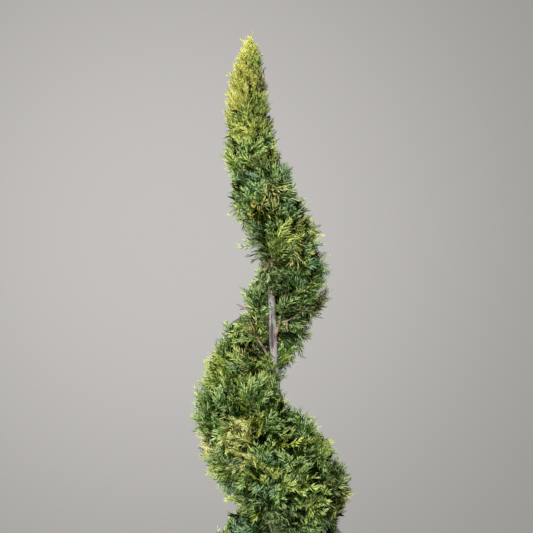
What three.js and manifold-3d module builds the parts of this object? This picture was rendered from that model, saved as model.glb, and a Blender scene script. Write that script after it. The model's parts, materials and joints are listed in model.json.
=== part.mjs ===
// A spiral topiary of golden cypress in a plain round pot: one leaning trunk with its bare boughs, and
// a clipped crown that winds down round the trunk as one band of foliage below a slim spire.
// Millimetres, +Z up, with the origin at the centre of the pot's flat underside. +X is the crown's
// right-hand side and -Y its front. The spiral goes down from the right, round the back, to the left.
import * as THREE from "three";
import { mergeVertices } from "three/addons/utils/BufferGeometryUtils.js";
import Module from "manifold-3d";

const wasm = await Module();
wasm.setup();

const { clamp, lerp, smoothstep } = THREE.MathUtils;
const TURN = 2 * Math.PI;
const GAP = 0.3; // between solids that touch

// ---- Driving dimensions ----
const HEIGHT = 1640; // from the pot's underside to the tip of the spire
const SPIRE = { height: 236, girth: 57, waist: 120 }; // the unbroken top of the crown
const SPREAD = 86; // how much wider than the spire the crown grows
const SKIRT = { height: 338, hollow: 30 }; // the lowest foliage
const POT = { height: 290, topRadius: 147, footRadius: 116, wall: 4, base: 5 };
const RIM = { overhang: 7, depth: 24, lip: 3 };
const DRAIN = { count: 5, radius: 7, circle: 74 };
const SOIL = { top: 262, edge: 255, flat: 42 };
const TRUNK = { footRadius: 15, tipRadius: 1.4, flare: 11, flareHeight: 26, tipBelow: 26 };
const LEAN = { slope: 0.0735, from: 1035, bend: 36, sway: 2.5 };
const GROOVE = { left: 1200, pitch: 410, sway: 32, evenFrom: 1.5, evenPitch: 315 };
const BAND = { first: -5 / 6, last: 8 / 3, masses: 21, steps: 5, rounding: 0.4, lip: 0.92 };
const BOUGH = { root: 2.9, tip: 1.5, enters: 8 };

// ---- The pot and its soil ----

const bark = paint(0x8a7468, 0.9);
const foliage = paint(0x6f8f3c, 0.8);
const goldTips = paint(0xa9b04a, 0.8);
const potPlastic = paint(0x3b3d3f, 0.55);
const compost = paint(0x3a2a1e, 0.95);

function paint(color, roughness) {
  return new THREE.MeshStandardMaterial({ color, roughness, metalness: 0 });
}

// A point of a lathe profile: its distance from the axis, and its height.
const at = (radius, z) => new THREE.Vector2(radius, z);

const turned = (profile, sides) => new THREE.LatheGeometry(profile, sides).rotateX(Math.PI / 2);

const potRadius = (z) => lerp(POT.footRadius, POT.topRadius, z / POT.height);

function makePot() {
  const under = POT.height - RIM.depth;
  const shoulder = POT.height - RIM.lip;
  const inside = (z) => potRadius(z) - POT.wall;
  let pot = solidFrom(
    turned(
      [
        at(0, 0),
        at(POT.footRadius - 3, 0),
        at(POT.footRadius, 3),
        at(potRadius(under), under),
        at(potRadius(under) + RIM.overhang, under + 2),
        at(POT.topRadius + RIM.overhang, shoulder),
        at(POT.topRadius + RIM.overhang - RIM.lip, POT.height),
        at(POT.topRadius, POT.height),
        at(inside(shoulder), shoulder),
        at(inside(POT.base), POT.base),
        at(0, POT.base),
      ],
      44,
    ),
  );
  for (let i = 0; i < DRAIN.count; i++) {
    const angle = ((i + 0.5) * TURN) / DRAIN.count;
    const hole = new THREE.CylinderGeometry(DRAIN.radius, DRAIN.radius, 4 * POT.base, 10)
      .rotateX(Math.PI / 2)
      .translate(DRAIN.circle * Math.cos(angle), DRAIN.circle * Math.sin(angle), 0);
    pot = pot.subtract(solidFrom(hole));
  }
  return pot;
}

// The compost fills the pot to below its rim and rises a little to the foot of the trunk.
function makeSoil() {
  const fit = (z) => potRadius(z) - POT.wall - GAP;
  const profile = [
    at(0, POT.base + GAP),
    at(fit(POT.base), POT.base + GAP),
    at(fit(SOIL.edge), SOIL.edge),
    at(SOIL.flat * 2, SOIL.edge + 2),
    at(SOIL.flat, SOIL.top),
    at(0, SOIL.top),
  ];
  return solidFrom(turned(profile, 44));
}

// ---- The trunk ----

// The trunk stands nearly upright at its foot and leans to the left above LEAN.from.
function trunkMiddle(z) {
  const above = z - LEAN.from;
  const lean = (-LEAN.slope * (above + Math.hypot(above, LEAN.bend))) / 2;
  const sway = LEAN.sway * smoothstep(z, SOIL.top, SOIL.top + 200) * smoothstep(HEIGHT - z, 0, 200);
  return new THREE.Vector3(lean + sway * Math.sin(z / 61), sway * Math.cos(z / 83), z);
}

function trunkRadius(z) {
  const share = clamp((z - SOIL.top) / (HEIGHT - TRUNK.tipBelow - SOIL.top), 0, 1);
  const flare = TRUNK.flare * Math.exp(-(z - SOIL.top) / TRUNK.flareHeight);
  return lerp(TRUNK.footRadius, TRUNK.tipRadius, share ** 1.05) + flare;
}

function makeTrunk(extra = 0) {
  const foot = SOIL.top + GAP - extra;
  const tip = HEIGHT - TRUNK.tipBelow + extra;
  const profile = [at(0, foot)];
  for (const rise of [0, 8, 20]) profile.push(at(trunkRadius(foot + rise) + extra, foot + rise));
  for (let i = 0; i <= 22; i++) {
    const z = lerp(foot + 40, tip, i / 22);
    profile.push(at(trunkRadius(z) + extra, z));
  }
  profile.push(at(0, tip));
  return solidFrom(reshaped(turned(profile, 12), (p) => p.add(trunkMiddle(p.z).setZ(0))));
}

const trunk = makeTrunk();
const trunkRoom = makeTrunk(GAP);

// ---- The groove that the shears cut round the crown ----
// turn counts down the spiral: 0 on the right, 0.25 at the back, 0.5 on the left, 0.75 at the front.

function grooveMiddle(turn) {
  const steep = Math.min(turn, GROOVE.evenFrom) - 0.5;
  const even = Math.max(turn - GROOVE.evenFrom, 0);
  const sway = GROOVE.sway * Math.sin(Math.PI * clamp(turn - 0.5, 0, 1));
  return GROOVE.left - GROOVE.pitch * steep - GROOVE.evenPitch * even + sway;
}

// Half the groove's height at a share of the way from the trunk out to the crown's edge. The groove
// opens out from nothing under the spire, and gets narrower again further down.
function grooveHalf(turn, share) {
  const opened = smoothstep(turn, 0.08, 0.5);
  const upper = lerp(138, 116, smoothstep(turn, 0.5, 1));
  const outer = opened * lerp(upper, 56, smoothstep(turn, 1, 1.5));
  const inner = smoothstep(turn, 0.3, 0.62) * lerp(69, 38, smoothstep(turn, 0.75, 1.4));
  return Math.max(lerp(inner, outer, share ** 1.15), 6);
}

// ---- The crown's outline ----

const SPIRE_FOOT = HEIGHT - SPIRE.height;

function crownRadius(z) {
  if (z > SPIRE_FOOT) return SPIRE.girth * ((HEIGHT - z) / SPIRE.height) ** 0.55;
  const below = SPIRE_FOOT - z;
  const spread = SPREAD * (1 - Math.exp(-((below / 185) ** 1.5)));
  return SPIRE.girth + spread + 0.02 * Math.max(below - 600, 0);
}

// The foliage bulges by a few per cent from place to place.
function bulge(angle, z) {
  const slow = Math.sin(3 * angle + z / 41) + Math.sin(5 * angle - z / 29 + 1.3);
  return 1 + 0.016 * (slow + Math.sin(8 * angle + z / 17));
}

// How far the crown's middle stands to the side of the trunk: the spire hangs to the left of it.
function crownSwing(z) {
  const below = HEIGHT - z;
  const upper = -18 * Math.sin((Math.PI * clamp(below, 0, 290)) / 290);
  return upper - 9 * smoothstep(below, 430, 640) * (1 - smoothstep(below, 760, 1000));
}

// A point at a radius, an angle and a height about the crown's middle, or near the trunk about it.
function crownPoint(radius, angle, z) {
  const middle = trunkMiddle(z);
  middle.x += crownSwing(z) * Math.min(radius / 40, 1);
  return middle.add(new THREE.Vector3(radius * Math.cos(angle), radius * Math.sin(angle), 0));
}

function spireSection(low, high, steps) {
  const profile = [at(0, low)];
  for (let i = 0; i <= steps; i++) {
    const z = lerp(low, high, i / steps);
    profile.push(at(crownRadius(z), z));
  }
  profile.push(at(0, high));
  const shaped = reshaped(turned(profile, 16), (p) => {
    const angle = Math.atan2(p.y, p.x);
    p.copy(crownPoint(Math.hypot(p.x, p.y) * bulge(angle, p.z), angle, p.z));
  });
  return solidFrom(shaped).subtract(trunkRoom);
}

// The band's top is the groove above it, or the spire's foot until that has begun. Its underside is
// the groove one turn further down, or the skirt.
function topside(turn, share) {
  const cut = turn < 0.1 ? SPIRE_FOOT : grooveMiddle(turn) - grooveHalf(turn, share);
  return Math.min(cut, SPIRE_FOOT - GAP);
}

function underside(turn, share) {
  const cut = grooveMiddle(turn + 1) + grooveHalf(turn + 1, share);
  return Math.max(cut, SKIRT.height + SKIRT.hollow * (1 - share));
}

// The band's outline on the half-plane through the trunk at a turn, moved sideways by shift so that
// neighbouring masses stay a hair apart.
function bandRing(turn, shift = 0) {
  const angle = turn * TURN;
  const opened = smoothstep(turn, 0.1, 0.5);
  const runOut = Math.sqrt(clamp((BAND.last + 0.04 - turn) / 0.32, 0, 1));
  const top = topside(turn, BAND.lip);
  const foot = underside(turn, BAND.lip);
  const radiusAt = (across, z) => {
    const rounded = 1 - BAND.rounding * Math.abs(across) ** 2.6 * (across > 0 ? opened : 1);
    return crownRadius(z) * bulge(angle, z) * runOut * rounded;
  };
  const [topEdge, footEdge] = [radiusAt(1, top), radiusAt(-1, foot)];
  const outline = [];
  const add = (radius, z) => outline.push(crownPoint(Math.max(radius, 1), angle, z));
  for (const share of [0, 0.3, 0.6]) add((topEdge * share) / BAND.lip, topside(turn, share));
  for (const across of [1, 0.78, 0.45, 0, -0.45, -0.78, -1]) {
    const z = lerp(foot, top, (across + 1) / 2);
    add(radiusAt(across, z), z);
  }
  for (const share of [0.6, 0.3, 0]) add((footEdge * share) / BAND.lip, underside(turn, share));
  const aside = new THREE.Vector3(-Math.sin(angle), Math.cos(angle), 0).multiplyScalar(shift);
  return outline.map((point) => point.add(aside));
}

// ---- The boughs that cross the groove and the bare foot of the trunk ----
// Each leaves the trunk, climbs as it reaches out and ends just inside the mass above or below the
// groove. reach is measured from the trunk's middle, and rise from where the bough leaves it.

const boughs = [
  { name: "bough_left", turn: 0.54, reach: 30, rise: 58, girth: 0.9, end: topside, side: -1 },
  { name: "bough_right", turn: 0.9, reach: 25, rise: 60, girth: 1, end: underside, side: 1, up: 1 },
];
for (let i = 0; i < 9; i++) {
  const reach = 42 + 5 * Math.sin(2.4 * i);
  const turn = 1.25 + 0.155 * i;
  const row = { turn, reach, rise: 1.15 * reach, girth: 1 + 0.04 * i, end: underside, side: 1, up: 1 };
  boughs.push({ name: `bough_${i + 1}`, ...row });
}
for (let i = 0; i < 3; i++) {
  const turn = 2.08 + 0.26 * i;
  const row = { turn, reach: 58, rise: 62, girth: 1.35, end: underside, side: 1, up: 0 };
  boughs.push({ name: `bough_foot_${i + 1}`, ...row });
}

function boughCurve({ turn, reach, rise, end, side, up }) {
  const angle = turn * TURN;
  const share = reach / crownRadius(grooveMiddle(turn));
  const z = end(turn - (up ?? 0), share) + BOUGH.enters * side;
  const from = crownPoint(0, angle, z - rise);
  const bend = crownPoint(0.55 * reach, angle + 0.1, z - 0.58 * rise);
  return new THREE.QuadraticBezierCurve3(from, bend, crownPoint(reach, angle, z));
}

function makeLimb(curve, root, tip, extra = 0) {
  const steps = 5;
  const { normals, binormals } = curve.computeFrenetFrames(steps);
  const rings = [];
  for (let i = 0; i <= steps; i++) {
    const middle = curve.getPointAt(i / steps);
    if (i === steps) middle.addScaledVector(curve.getTangentAt(1), extra);
    const radius = lerp(root, tip, i / steps) + extra;
    const ring = [];
    for (let j = 0; j < 6; j++) {
      const spoke = normals[i].clone().multiplyScalar(radius * Math.cos((j * TURN) / 6));
      spoke.addScaledVector(binormals[i], radius * Math.sin((j * TURN) / 6));
      ring.push(spoke.add(middle));
    }
    rings.push(ring);
  }
  return solidFrom(loft(rings));
}

// The right-hand bough forks: its side arm lies nearly level.
function armCurve(parent) {
  const from = parent.getPointAt(0.62);
  const to = from.clone().add(new THREE.Vector3(30, -6, 13));
  return new THREE.QuadraticBezierCurve3(from, from.clone().add(new THREE.Vector3(14, -3, -1)), to);
}

// ---- Solids from geometry ----

// A closed skin over rings of points, each with as many points as the next, with both ends capped.
function loft(rings) {
  const count = rings[0].length;
  const points = rings.flat();
  const faces = [];
  for (let i = 0; i + 1 < rings.length; i++)
    for (let j = 0; j < count; j++) {
      const [a, b] = [i * count + j, i * count + ((j + 1) % count)];
      faces.push(a, b, b + count, a, b + count, a + count);
    }
  for (const ring of [rings[0], rings.at(-1)]) {
    const first = ring === rings[0] ? 0 : points.length - count - 1;
    for (let j = 0; j < count; j++) {
      const edge = [first + j, first + ((j + 1) % count)];
      faces.push(points.length, ...(first ? edge : edge.reverse()));
    }
    points.push(ring.reduce((sum, p) => sum.add(p), new THREE.Vector3()).divideScalar(count));
  }
  return new THREE.BufferGeometry().setFromPoints(points).setIndex(faces);
}

function reshaped(geometry, move) {
  const position = geometry.attributes.position;
  const point = new THREE.Vector3();
  for (let i = 0; i < position.count; i++) {
    move(point.fromBufferAttribute(position, i));
    position.setXYZ(i, point.x, point.y, point.z);
  }
  return geometry;
}

function solidFrom(geometry) {
  const bare = geometry.clone();
  bare.deleteAttribute("normal");
  bare.deleteAttribute("uv");
  const merged = mergeVertices(bare, 1e-3);
  const triVerts = new Uint32Array(merged.index.array);
  const vertProperties = merged.attributes.position.array;
  const make = () => new wasm.Manifold(new wasm.Mesh({ numProp: 3, vertProperties, triVerts }));
  const solid = make();
  if (solid.volume() > 0) return solid;
  triVerts.reverse();
  return make();
}

const largest = (solid) => solid.decompose().reduce((a, b) => (b.volume() > a.volume() ? b : a));

const topiary = new THREE.Group();

function show(name, solid, material) {
  const { vertProperties, triVerts } = solid.getMesh();
  const geometry = new THREE.BufferGeometry()
    .setAttribute("position", new THREE.BufferAttribute(vertProperties, 3))
    .setIndex(new THREE.BufferAttribute(triVerts, 1));
  const mesh = new THREE.Mesh(geometry, material);
  mesh.name = name;
  topiary.add(mesh);
}

// ---- The whole plant in its pot ----

show("pot", makePot(), potPlastic);
show("potting_soil", makeSoil(), compost);
show("trunk", trunk, bark);

const limbRoom = [];
for (const row of boughs) {
  const curve = boughCurve(row);
  const [root, tip] = [BOUGH.root * row.girth, BOUGH.tip * row.girth];
  const room = makeLimb(curve, root, tip, GAP);
  show(row.name, largest(makeLimb(curve, root, tip).subtract(trunkRoom)), bark);
  if (row.name === "bough_right") {
    const arm = armCurve(curve);
    show("bough_right_arm", largest(makeLimb(arm, tip, 0.6 * tip).subtract(room)), bark);
    limbRoom.push(makeLimb(arm, tip, 0.6 * tip, GAP));
  }
  limbRoom.push(room);
}

const waist = SPIRE_FOOT + SPIRE.waist;
show("spire_tip", spireSection(waist + GAP, HEIGHT - 2, 6), goldTips);
show("spire_foot", spireSection(SPIRE_FOOT, waist, 5), goldTips);

const massLength = (BAND.last - BAND.first) / BAND.masses;
for (let i = 0; i < BAND.masses; i++) {
  const from = BAND.first + i * massLength;
  const rings = [bandRing(from, GAP / 2)];
  for (let j = 1; j < BAND.steps; j++) rings.push(bandRing(from + (j * massLength) / BAND.steps));
  rings.push(bandRing(from + massLength, -GAP / 2));
  let mass = solidFrom(loft(rings)).subtract(trunkRoom);
  for (const room of limbRoom) mass = mass.subtract(room);
  show(`foliage_${String(i + 1).padStart(2, "0")}`, largest(mass), foliage);
}

export default topiary;
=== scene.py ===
import json
import math

import bmesh
import bpy
import numpy as np
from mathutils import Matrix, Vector, noise
from mathutils.bvhtree import BVHTree
from mathutils.kdtree import KDTree

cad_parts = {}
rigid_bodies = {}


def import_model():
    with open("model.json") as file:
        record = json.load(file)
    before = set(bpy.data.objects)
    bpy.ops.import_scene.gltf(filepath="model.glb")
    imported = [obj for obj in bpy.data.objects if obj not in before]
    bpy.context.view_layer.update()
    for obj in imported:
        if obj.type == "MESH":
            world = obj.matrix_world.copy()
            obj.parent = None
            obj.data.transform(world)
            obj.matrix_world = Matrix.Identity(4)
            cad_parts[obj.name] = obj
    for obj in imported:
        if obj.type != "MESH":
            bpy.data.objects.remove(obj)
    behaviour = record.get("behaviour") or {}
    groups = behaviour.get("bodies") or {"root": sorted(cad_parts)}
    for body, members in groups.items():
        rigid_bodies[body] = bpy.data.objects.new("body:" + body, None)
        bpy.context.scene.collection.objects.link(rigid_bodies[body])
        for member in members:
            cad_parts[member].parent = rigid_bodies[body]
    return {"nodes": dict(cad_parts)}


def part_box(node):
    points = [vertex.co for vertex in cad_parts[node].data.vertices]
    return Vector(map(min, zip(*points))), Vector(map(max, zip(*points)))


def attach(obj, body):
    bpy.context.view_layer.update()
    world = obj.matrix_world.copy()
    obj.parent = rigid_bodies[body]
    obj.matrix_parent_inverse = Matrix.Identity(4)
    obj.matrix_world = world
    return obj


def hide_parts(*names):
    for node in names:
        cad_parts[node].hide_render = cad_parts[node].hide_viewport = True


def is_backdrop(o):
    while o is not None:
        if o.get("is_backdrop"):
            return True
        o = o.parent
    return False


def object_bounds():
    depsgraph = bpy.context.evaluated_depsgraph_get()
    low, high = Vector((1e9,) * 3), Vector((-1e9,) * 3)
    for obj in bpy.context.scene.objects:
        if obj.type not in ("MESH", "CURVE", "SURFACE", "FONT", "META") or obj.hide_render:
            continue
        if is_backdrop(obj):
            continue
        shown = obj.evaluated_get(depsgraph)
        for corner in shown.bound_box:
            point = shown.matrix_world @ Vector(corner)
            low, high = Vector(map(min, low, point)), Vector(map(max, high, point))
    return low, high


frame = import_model()
cad_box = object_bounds()


# ---- The pot ----
# A plain tapered nursery pot with a rolled rim, moulded in one piece from charcoal plastic. Its wall
# is turned from one outline, and the drainage holes are bored through its base.

MM = 0.001
POT_SIDES = 144
POT_WALL = 4 * MM
POT_BASE = 5 * MM
POT_FOOT = 116 * MM
FOOT_ROUND = 3 * MM
FOOT_GROOVE = 1.5 * MM
BAND_BELOW_RIM = 34 * MM
BAND_PROUD = 1.4 * MM
RIM_ROLL = 7 * MM
RIM_DEPTH = 24 * MM
RIM_EDGE = 2 * MM
RIM_ROUND = 3.5 * MM
LIP_ROUND = 3 * MM
LIP_DEPTH = 12 * MM
DRAIN_HOLES = 5
DRAIN_RADIUS = 7 * MM
DRAIN_CIRCLE = 74 * MM
DRILL_LENGTH = 30 * MM
CHARCOAL = (0.034, 0.036, 0.038)
POT_DUST = (0.17, 0.15, 0.12)


class Wire:
    """An output socket of a node. Arithmetic on it adds a Math node, or Vector Math for a vector."""

    def __init__(self, tree, socket):
        self.tree, self.socket = tree, socket

    def output(self, name):
        return Wire(self.tree, self.socket.node.outputs[name])

    def _math(self, operation, a, b):
        vector = any(isinstance(x, Wire) and x.socket.type == "VECTOR" for x in (a, b))
        kind = "ShaderNodeVectorMath" if vector else "ShaderNodeMath"
        return add_node(self.tree, kind, {"operation": operation}, {0: a, 1: b})

    def __add__(self, other):
        return self._math("ADD", self, other)

    def __radd__(self, other):
        return self._math("ADD", other, self)

    def __sub__(self, other):
        return self._math("SUBTRACT", self, other)

    def __rsub__(self, other):
        return self._math("SUBTRACT", other, self)

    def __mul__(self, other):
        return self._math("MULTIPLY", self, other)

    def __rmul__(self, other):
        return self._math("MULTIPLY", other, self)

    def __truediv__(self, other):
        return self._math("DIVIDE", self, other)

    def __rtruediv__(self, other):
        return self._math("DIVIDE", other, self)


def add_node(tree, kind, settings=None, sockets=None):
    """Adds a node: its settings first, then the values or wires of its sockets, by name or place."""
    node = tree.nodes.new(kind)
    for name, value in (settings or {}).items():
        setattr(node, name, value)
    for key, value in (sockets or {}).items():
        if isinstance(key, str):
            socket = next(s for s in node.inputs if s.enabled and s.name == key)
        else:
            socket = node.inputs[key]
        if isinstance(value, Wire):
            tree.links.new(value.socket, socket)
        else:
            socket.default_value = value
    return Wire(tree, next(s for s in node.outputs if s.enabled)) if node.outputs else node


def node_tree(name, **inputs):
    """A Geometry Nodes tree with named inputs. Returns it with a wire for each input."""
    kinds = {float: "Float", int: "Int"}
    tree = bpy.data.node_groups.new(name, "GeometryNodeTree")
    for way in ("OUTPUT", "INPUT"):
        tree.interface.new_socket("Geometry", in_out=way, socket_type="NodeSocketGeometry")
    for label, start in inputs.items():
        kind = "NodeSocket" + (start if isinstance(start, str) else kinds[type(start)])
        socket = tree.interface.new_socket(label.replace("_", " "), in_out="INPUT", socket_type=kind)
        if not isinstance(start, str):
            socket.default_value = start
    entry = tree.nodes.new("NodeGroupInput")
    return tree, {s.name: Wire(tree, s) for s in entry.outputs if s.name}


def finished(tree, geometry, finish, where=True):
    """Leaves no instances and sets the finish of the faces, or of those where a wire says so."""
    geometry = add_node(tree, "GeometryNodeRealizeInstances", {}, {"Geometry": geometry})
    sockets = {"Geometry": geometry, "Selection": where, "Material": finish}
    return add_node(tree, "GeometryNodeSetMaterial", {}, sockets)


def end_tree(tree, geometry):
    add_node(tree, "NodeGroupOutput", {}, {0: geometry})
    return tree


def grown(name, source, tree, **inputs):
    """The plain mesh piece that a tree makes from a source object, which is used up."""
    modifier = source.modifiers.new("Build", "NODES")
    modifier.node_group = tree
    wanted = {label.replace("_", " "): value for label, value in inputs.items()}
    for item in tree.interface.items_tree:
        if item.in_out == "INPUT" and item.name in wanted:
            modifier[item.identifier] = wanted[item.name]
    evaluated = source.evaluated_get(bpy.context.evaluated_depsgraph_get())
    mesh = bpy.data.meshes.new_from_object(evaluated)
    source.modifiers.remove(modifier)
    bpy.data.objects.remove(source)
    return shown(name, mesh)


def shown(name, mesh):
    """A mesh as an object in the scene."""
    piece = bpy.data.objects.new(name, mesh)
    mesh.name = name
    bpy.context.scene.collection.objects.link(piece)
    return piece


def mesh_of(name, shell):
    """A shell of loose corners and faces as a mesh. The shell is used up."""
    mesh = bpy.data.meshes.new(name)
    shell.to_mesh(mesh)
    shell.free()
    return mesh


def turned(name, outline, sides):
    """A closed shell turned about the Z axis from an outline of (radius, height) points."""
    shell = bmesh.new()
    points = [shell.verts.new((radius, 0, height)) for radius, height in outline]
    edges = [shell.edges.new(pair) for pair in zip(points, points[1:])]
    axis = {"axis": (0, 0, 1), "cent": (0, 0, 0), "angle": math.tau}
    bmesh.ops.spin(shell, geom=points + edges, steps=sides, **axis)
    bmesh.ops.remove_doubles(shell, verts=shell.verts, dist=0.01 * MM)
    bmesh.ops.recalc_face_normals(shell, faces=shell.faces)
    return mesh_of(name, shell)


def arc(centre, radius, start, end, steps):
    """Points of an arc in the outline's plane, from one angle in degrees to another."""
    angles = np.radians(np.linspace(start, end, steps))
    return [(centre[0] + radius * math.cos(a), centre[1] + radius * math.sin(a)) for a in angles]


def finish_material(name, colour, roughness, **constants):
    """A Principled material. Returns it, its tree and its shader."""
    material = bpy.data.materials.new(name)
    material.use_nodes = True
    tree = material.node_tree
    shader = tree.nodes["Principled BSDF"]
    shader.inputs["Base Color"].default_value = (*colour, 1)
    shader.inputs["Roughness"].default_value = roughness
    for label, value in constants.items():
        shader.inputs[label.replace("_", " ")].default_value = value
    return material, tree, shader


def noise_on(tree, vector, scale, detail):
    """Soft noise from 0 to 1 over a surface."""
    sockets = {"Vector": vector, "Scale": scale, "Detail": detail, "Roughness": 0.55}
    return add_node(tree, "ShaderNodeTexNoise", {}, sockets)


def step(tree, value, low, high):
    """0 below low, 1 above high, smooth between."""
    sockets = {"Value": value, "From Min": low, "From Max": high}
    return add_node(tree, "ShaderNodeMapRange", {"interpolation_type": "SMOOTHSTEP"}, sockets)


def blend(tree, factor, a, b):
    """One colour, or a wire of colour, fading into another."""
    a, b = (c if isinstance(c, Wire) else (*c, 1) for c in (a, b))
    return add_node(tree, "ShaderNodeMix", {"data_type": "RGBA"}, {"Factor": factor, "A": a, "B": b})


def bump(tree, height, distance, strength=1.0):
    sockets = {"Strength": strength, "Distance": distance, "Height": height}
    return add_node(tree, "ShaderNodeBump", {}, sockets)


def feed(tree, shader, **wires):
    for label, wire in wires.items():
        tree.links.new(wire.socket, shader.inputs[label.replace("_", " ")])


def object_position(tree):
    return add_node(tree, "ShaderNodeTexCoord").output("Object")


def upward_part(tree, vector):
    return add_node(tree, "ShaderNodeSeparateXYZ", {}, {0: vector}).output("Z")


pot_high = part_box("pot")[1]
POT_HEIGHT = pot_high.z
POT_TOP = pot_high.x - RIM_ROLL


def pot_radius(z):
    """The outside radius of the pot's tapered wall at a height."""
    return POT_FOOT + (POT_TOP - POT_FOOT) * z / POT_HEIGHT


def pot_outline():
    """Half the pot's section: under the base, up the wall, over the rim and down the inside."""
    rim = POT_HEIGHT - RIM_DEPTH
    band = rim - BAND_BELOW_RIM
    outer = POT_TOP + RIM_ROLL
    points = [(0, 0), (POT_FOOT - 12 * MM, 0), (POT_FOOT - 9 * MM, FOOT_GROOVE), (POT_FOOT - 6 * MM, 0)]
    points += arc((POT_FOOT - FOOT_ROUND, FOOT_ROUND), FOOT_ROUND, -90, 0, 5)
    points += [(pot_radius(z), z) for z in np.linspace(12 * MM, band - 3 * MM, 5)]
    points += [(pot_radius(band) + BAND_PROUD, band), (pot_radius(rim) + BAND_PROUD, rim - 1.5 * MM)]
    points += [(outer - RIM_EDGE, rim), *arc((outer - RIM_EDGE, rim + RIM_EDGE), RIM_EDGE, -60, 0, 4)]
    points += arc((outer - RIM_ROUND, POT_HEIGHT - RIM_ROUND), RIM_ROUND, 0, 90, 6)
    points += arc((POT_TOP - 1 * MM, POT_HEIGHT - LIP_ROUND), LIP_ROUND, 90, 180, 6)
    points += [(pot_radius(z) - POT_WALL, z) for z in (POT_HEIGHT - LIP_DEPTH, POT_BASE)]
    return [*points, (0, POT_BASE)]


def charcoal_plastic():
    """Dark plastic with a fine grain, dusty in streaks and towards its foot."""
    material, tree, shader = finish_material("charcoal plastic", CHARCOAL, 0.5)
    at = object_position(tree)
    streaks = noise_on(tree, at * (9.0, 9.0, 1.6), 14.0, 4.0)
    cloud = noise_on(tree, at, 16.0, 4.0)
    grain = noise_on(tree, at, 900.0, 2.0)
    low_down = 1 - step(tree, upward_part(tree, at), 10 * MM, 90 * MM)
    dust = step(tree, streaks * 0.5 + cloud * 0.5, 0.52, 0.75) * 0.35 + low_down * cloud * 0.5
    colour = blend(tree, dust, CHARCOAL, POT_DUST)
    feed(tree, shader, Base_Color=colour, Roughness=0.42 + dust * 0.5 + grain * 0.06)
    feed(tree, shader, Normal=bump(tree, grain + cloud * 0.6, 0.25 * MM, 0.5))
    return material


def bored_base():
    """Bores the drainage holes through the pot's base, evenly round a circle."""
    tree, given = node_tree(
        "Bored base",
        Holes=DRAIN_HOLES,
        Hole_radius=DRAIN_RADIUS,
        Circle_radius=DRAIN_CIRCLE,
        Drill_length=DRILL_LENGTH,
        Finish="Material",
    )
    sockets = {"Vertices": given["Holes"], "Radius": given["Circle radius"]}
    circle = add_node(tree, "GeometryNodeMeshCircle", {}, sockets)
    turn = add_node(tree, "ShaderNodeCombineXYZ", {}, {"Z": math.pi / given["Holes"]})
    circle = add_node(tree, "GeometryNodeTransform", {}, {"Geometry": circle, "Rotation": turn})
    sockets = {"Vertices": 32, "Radius": given["Hole radius"], "Depth": given["Drill length"]}
    drill = add_node(tree, "GeometryNodeMeshCylinder", {}, sockets)
    sockets = {"Points": circle, "Instance": drill}
    drills = add_node(tree, "GeometryNodeInstanceOnPoints", {}, sockets)
    drills = add_node(tree, "GeometryNodeRealizeInstances", {}, {"Geometry": drills})
    sockets = {"Mesh 1": given["Geometry"], "Mesh 2": drills}
    bored = add_node(tree, "GeometryNodeMeshBoolean", {"operation": "DIFFERENCE"}, sockets)
    return end_tree(tree, finished(tree, bored, given["Finish"]))


def smooth(piece):
    """Smooth shading, with the sharp edges left sharp."""
    piece.data.shade_smooth()
    piece.data.set_sharp_from_angle(angle=math.radians(40))


pot_shell = shown("pot shell", turned("pot shell", pot_outline(), POT_SIDES))
pot = grown("nursery_pot", pot_shell, bored_base(), Finish=charcoal_plastic())
smooth(pot)
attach(pot, "root")
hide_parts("pot")


# ---- The potting soil ----
# Dark bark compost that fills the pot to below its rim and rises a little to the foot of the trunk.
# Its top is uneven, and loose crumbs and chips of bark lie on it.

SOIL_SIDES = 120
SOIL_RINGS = 44
SOIL_CLEAR = 0.5 * MM
SOIL_BELOW = 6 * MM
SOIL_BRIM = 7 * MM
SOIL_UNEVEN = 2.2 * MM
MOUND_RISE = 5 * MM
MOUND_FOOT = 84 * MM
CRUMBS_PER_M2 = 30000.0
CRUMB_SMALLEST = 0.7
CRUMB_LARGEST = 2.3
CRUMB_SHAPES = [(1.5, 1.1, 0.8), (2.6, 1.2, 0.5), (1.2, 1.0, 1.0), (3.6, 1.4, 0.45)]  # half sizes in mm
COMPOST_DARK = (0.012, 0.008, 0.005)
COMPOST_BROWN = (0.050, 0.029, 0.016)
CHIP_BROWN = (0.105, 0.060, 0.034)
CHIP_PALE = (0.19, 0.125, 0.075)
soil_low, soil_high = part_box("potting_soil")


def soil_height(x, y):
    """The height of the soil's top, with its mound and its hollows."""
    mound = 1 - min(max((math.hypot(x, y) - 0.4 * MOUND_FOOT) / (0.6 * MOUND_FOOT), 0), 1)
    mound = mound * mound * (3 - 2 * mound)
    wave = noise.fractal(Vector((x, y, 0.3)) * 38, 1.0, 2.1, 4)
    return soil_high.z - SOIL_BELOW + MOUND_RISE * mound + SOIL_UNEVEN * wave


def soil_radius(z):
    return pot_radius(z) - POT_WALL - SOIL_CLEAR


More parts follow.
